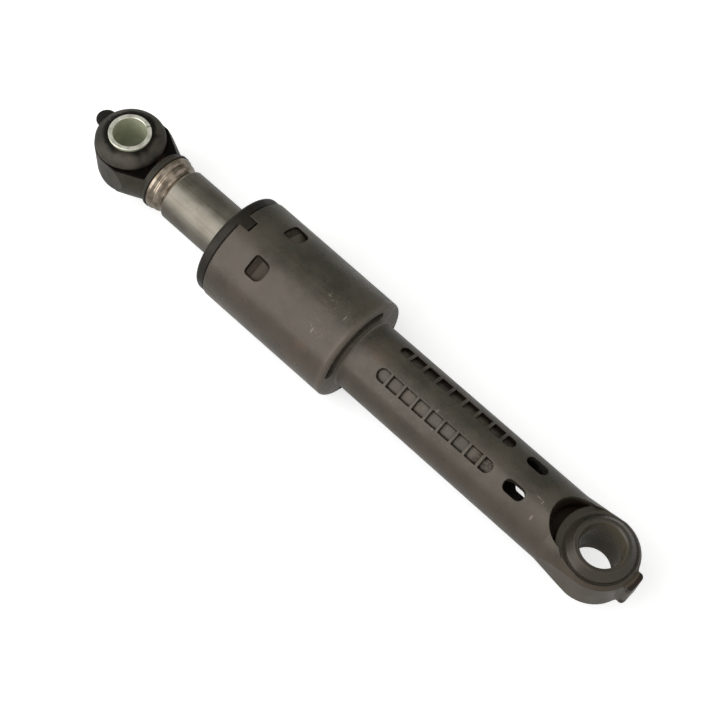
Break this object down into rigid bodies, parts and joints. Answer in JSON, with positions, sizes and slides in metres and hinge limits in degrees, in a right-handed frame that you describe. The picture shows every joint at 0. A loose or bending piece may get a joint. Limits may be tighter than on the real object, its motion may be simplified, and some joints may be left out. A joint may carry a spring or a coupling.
{
  "type": "washing machine shock absorber",
  "caption": "Friction shock absorber for a washing machine tub: a steel rod tube with a rubber-bushed eye slides in a plastic housing with an eye at its other end.",
  "frame": {"origin": "centre of the lower eye's bore, midway through the eye", "axes": "+X along the axis to the upper eye, +Z along both bores, +Y completes the right-handed set"},
  "size_m": [0.221, 0.036, 0.036],
  "materials": {
    "housing_plastic": "dark brownish grey moulded plastic, satin, with light scuffs",
    "cap_plastic": "near black moulded plastic, satin",
    "buffer_rubber": "black rubber",
    "carrier_plastic": "natural off-white moulded plastic",
    "lining_foam": "greased open foam",
    "tube_steel": "drawn steel with lengthwise marks and a warm rolled neck",
    "eye_plastic": "black moulded plastic, satin",
    "bush_rubber": "black rubber, slightly shiny",
    "sleeve_steel": "rolled steel strip, bright end faces and a dull inner wall"
  },
  "bodies": {
    "housing": {"housing": "housing_plastic", "end_cap": "cap_plastic", "rear_buffer": "buffer_rubber", "front_buffer": "buffer_rubber"},
    "carrier": {"lining_carrier": "carrier_plastic", "carrier_ring": "carrier_plastic", "friction_lining": "lining_foam"},
    "guide": {"rod_guide": "carrier_plastic"},
    "rod": {"rod_tube": "tube_steel", "upper_eye": "eye_plastic", "rubber_bush": "bush_rubber"},
    "sleeve": {"bush_sleeve": "sleeve_steel"}
  },
  "joints": [
    {"name": "carrier_float", "type": "slide", "parent": "housing", "child": "carrier", "axis": [1, 0, 0], "range_m": [-0.004, 0.004]},
    {"name": "rod_slide", "type": "slide", "parent": "housing", "child": "guide", "axis": [1, 0, 0], "range_m": [-0.0265, 0.046]},
    {"name": "rod_twist", "type": "hinge", "parent": "guide", "child": "rod", "pos_m": [0.0505, 0, 0], "axis": [1, 0, 0], "continuous": true},
    {"name": "sleeve_twist", "type": "hinge", "parent": "rod", "child": "sleeve", "pos_m": [0.1926, 0, 0], "axis": [0, 0, 1], "range_deg": [-12, 12], "stiffness_Nm_per_rad": 1.5}
  ]
}
